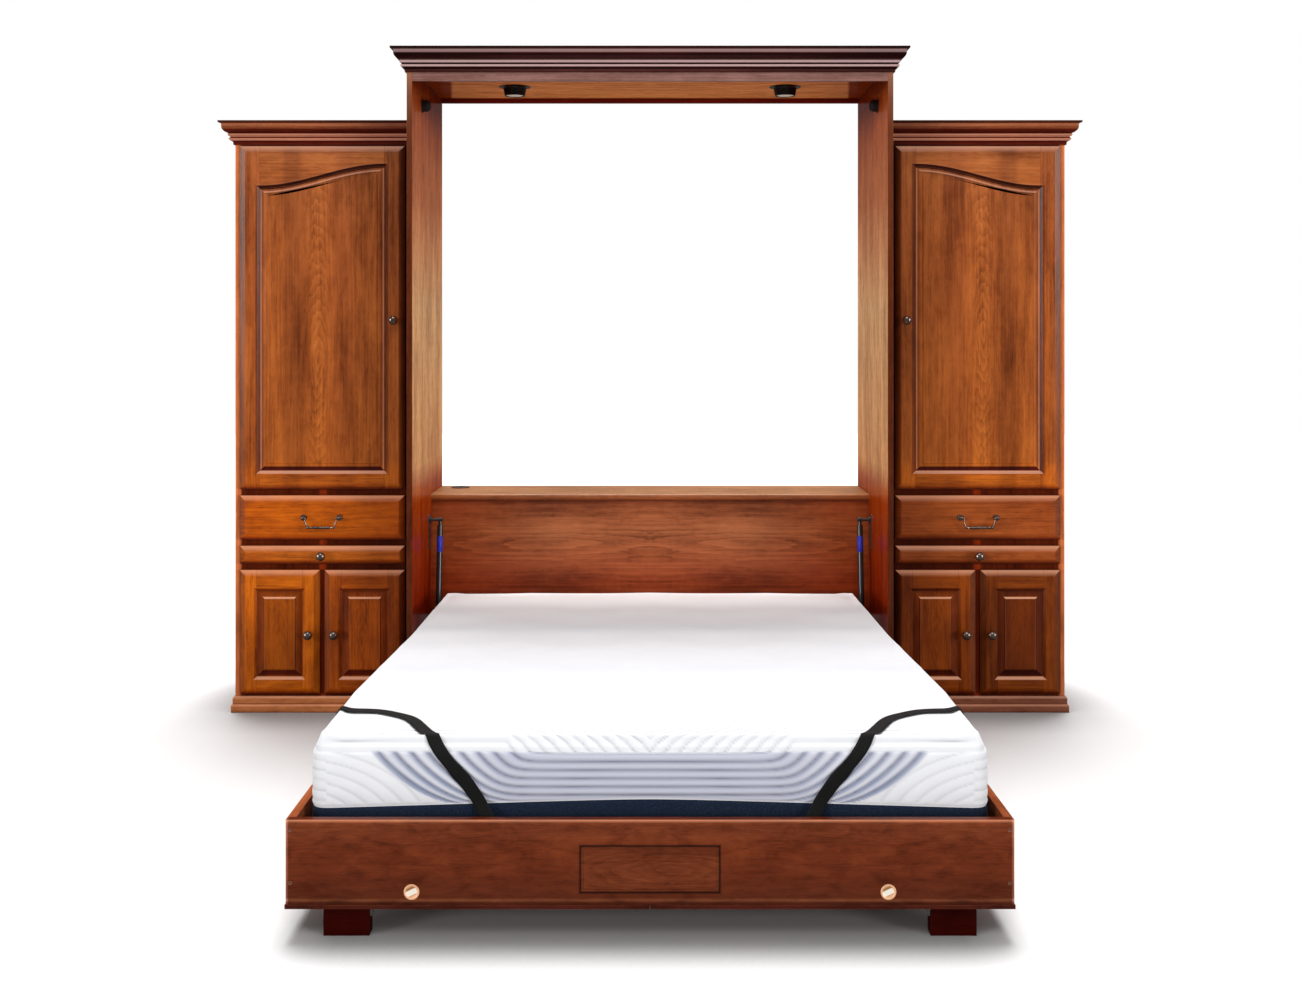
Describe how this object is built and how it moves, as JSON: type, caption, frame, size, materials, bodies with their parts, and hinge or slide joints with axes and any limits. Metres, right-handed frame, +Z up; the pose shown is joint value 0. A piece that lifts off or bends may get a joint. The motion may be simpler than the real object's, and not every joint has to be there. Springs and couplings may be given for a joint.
{
  "type": "wall bed",
  "caption": "Wall bed that folds up into an open centre cabinet between two storage piers with panelled doors, drawers, pull-out trays and crown mouldings.",
  "frame": {"origin": "the floor line at the wall, on the centre line of the bed", "axes": "+X to the right as seen from the room, +Y towards the wall (the wall is y = 0, the front faces -Y), +Z up; the bed is stored lowered"},
  "size_m": [3.056, 2.55, 2.327],
  "materials": {
    "wood_cherry": "satin lacquered cherry with standing grain",
    "wood_moulding": "satin lacquered cherry, darker on the mouldings",
    "wood_dark": "satin lacquered cherry, dark red-brown",
    "wood_inside": "satin wood veneer",
    "wood_pale": "plain plywood and softwood",
    "bronze": "oil-rubbed bronze, satin",
    "zinc_steel": "zinc-plated steel, satin",
    "black_steel": "black lacquer, semi-gloss",
    "rod_chrome": "polished",
    "brass": "satin",
    "rubber": "matt black",
    "grommet_plastic": "dark brown, satin",
    "lens_glass": "frosted",
    "ticking": "white knitted ticking with a padded border",
    "webbing": "black woven webbing"
  },
  "bodies": {
    "cabinet": {"side_panels": "wood_cherry", "top_board": "wood_inside", "fascia_rail": "wood_cherry", "wall_cleats": "wood_dark", "headboard_panel": "wood_cherry", "ledge": "wood_cherry", "toe_board": "wood_dark", "centre_crown": "wood_moulding", "cable_grommet": "grommet_plastic", "light_housings": "bronze", "light_lenses": "lens_glass", "rubber_catches": "rubber", "strut_brackets": "black_steel", "pivot_pins": "zinc_steel", "pier_sides": "wood_cherry", "pier_shelves": "wood_inside", "pier_backs": "wood_inside", "face_frames": "wood_cherry", "pier_crowns": "wood_moulding", "base_mouldings": "wood_moulding", "hinge_arms": "zinc_steel", "slide_rails": "zinc_steel"},
    "left_strut_cylinder": {"left_strut_cylinder": "black_steel"},
    "left_strut_rod": {"left_strut_rod": "rod_chrome"},
    "right_strut_cylinder": {"right_strut_cylinder": "black_steel"},
    "right_strut_rod": {"right_strut_rod": "rod_chrome"},
    "bed": {"bed_side_rails": "wood_cherry", "foot_rail": "wood_dark", "head_rail": "wood_cherry", "deck": "wood_pale", "stringers": "wood_pale", "front_panels": "wood_cherry", "inset_plate": "wood_dark", "brass_bolts": "brass", "mechanism_plates": "zinc_steel", "leg_brackets": "zinc_steel", "mattress": "ticking", "straps": "webbing"},
    "left_leg": {"left_leg": "wood_dark"},
    "right_leg": {"right_leg": "wood_dark"},
    "left_upper_door": {"left_upper_door": "wood_cherry", "left_upper_fittings": "bronze"},
    "left_outer_door": {"left_outer_door": "wood_cherry", "left_outer_fittings": "bronze"},
    "left_inner_door": {"left_inner_door": "wood_cherry", "left_inner_fittings": "bronze"},
    "left_drawer": {"left_drawer": "wood_cherry", "left_drawer_fittings": "bronze"},
    "left_bail": {"left_bail": "bronze"},
    "left_tray": {"left_tray": "wood_cherry"},
    "right_upper_door": {"right_upper_door": "wood_cherry", "right_upper_fittings": "bronze"},
    "right_outer_door": {"right_outer_door": "wood_cherry", "right_outer_fittings": "bronze"},
    "right_inner_door": {"right_inner_door": "wood_cherry", "right_inner_fittings": "bronze"},
    "right_drawer": {"right_drawer": "wood_cherry", "right_drawer_fittings": "bronze"},
    "right_bail": {"right_bail": "bronze"},
    "right_tray": {"right_tray": "wood_cherry"}
  },
  "joints": [
    {"name": "bed_fold", "type": "hinge", "parent": "cabinet", "child": "bed", "pos_m": [0, -0.575, 0.23], "axis": [-1, 0, 0], "range_deg": [0, 90]},
    {"name": "left_strut_swing", "type": "hinge", "parent": "cabinet", "child": "left_strut_cylinder", "pos_m": [-0.775, -0.345, 0.66], "axis": [1, 0, 0], "range_deg": [-13.2, 0]},
    {"name": "left_strut_slide", "type": "slide", "parent": "left_strut_cylinder", "child": "left_strut_rod", "axis": [0, -0.1478, -0.989], "range_m": [0, 0.2005]},
    {"name": "left_leg_fold", "type": "hinge", "parent": "bed", "child": "left_leg", "pos_m": [-0.681, -2.492, 0.0527], "axis": [1, 0, 0], "range_deg": [0, 90]},
    {"name": "left_upper_hinge", "type": "hinge", "parent": "cabinet", "child": "left_upper_door", "pos_m": [-1.459, -0.5515, 1.405], "axis": [0, 0, -1], "range_deg": [0, 105]},
    {"name": "left_outer_hinge", "type": "hinge", "parent": "cabinet", "child": "left_outer_door", "pos_m": [-1.459, -0.5515, 0.288], "axis": [0, 0, -1], "range_deg": [0, 105]},
    {"name": "left_inner_hinge", "type": "hinge", "parent": "cabinet", "child": "left_inner_door", "pos_m": [-0.872, -0.5515, 0.288], "axis": [0, 0, 1], "range_deg": [0, 90]},
    {"name": "left_drawer_slide", "type": "slide", "parent": "cabinet", "child": "left_drawer", "axis": [0, -1, 0], "range_m": [0, 0.42]},
    {"name": "left_bail_swing", "type": "hinge", "parent": "left_drawer", "child": "left_bail", "pos_m": [-1.1655, -0.583, 0.6945], "axis": [-1, 0, 0], "range_deg": [0, 85]},
    {"name": "left_tray_slide", "type": "slide", "parent": "cabinet", "child": "left_tray", "axis": [0, -1, 0], "range_m": [0, 0.38]},
    {"name": "right_strut_swing", "type": "hinge", "parent": "cabinet", "child": "right_strut_cylinder", "pos_m": [0.775, -0.345, 0.66], "axis": [1, 0, 0], "range_deg": [-13.2, 0]},
    {"name": "right_strut_slide", "type": "slide", "parent": "right_strut_cylinder", "child": "right_strut_rod", "axis": [0, -0.1478, -0.989], "range_m": [0, 0.2005]},
    {"name": "right_leg_fold", "type": "hinge", "parent": "bed", "child": "right_leg", "pos_m": [0.681, -2.492, 0.0527], "axis": [1, 0, 0], "range_deg": [0, 90]},
    {"name": "right_upper_hinge", "type": "hinge", "parent": "cabinet", "child": "right_upper_door", "pos_m": [1.459, -0.5515, 1.405], "axis": [0, 0, 1], "range_deg": [0, 105]},
    {"name": "right_outer_hinge", "type": "hinge", "parent": "cabinet", "child": "right_outer_door", "pos_m": [1.459, -0.5515, 0.288], "axis": [0, 0, 1], "range_deg": [0, 105]},
    {"name": "right_inner_hinge", "type": "hinge", "parent": "cabinet", "child": "right_inner_door", "pos_m": [0.872, -0.5515, 0.288], "axis": [0, 0, -1], "range_deg": [0, 90]},
    {"name": "right_drawer_slide", "type": "slide", "parent": "cabinet", "child": "right_drawer", "axis": [0, -1, 0], "range_m": [0, 0.42]},
    {"name": "right_bail_swing", "type": "hinge", "parent": "right_drawer", "child": "right_bail", "pos_m": [1.1655, -0.583, 0.6945], "axis": [-1, 0, 0], "range_deg": [0, 85]},
    {"name": "right_tray_slide", "type": "slide", "parent": "cabinet", "child": "right_tray", "axis": [0, -1, 0], "range_m": [0, 0.38]}
  ],
  "couplings": [
    {"joint": "left_strut_swing", "follows": "bed_fold", "ratio": -0.14504},
    {"joint": "left_strut_slide", "follows": "bed_fold", "m_per_rad": 0.12726},
    {"joint": "right_strut_swing", "follows": "bed_fold", "ratio": -0.14504},
    {"joint": "right_strut_slide", "follows": "bed_fold", "m_per_rad": 0.12726}
  ]
}
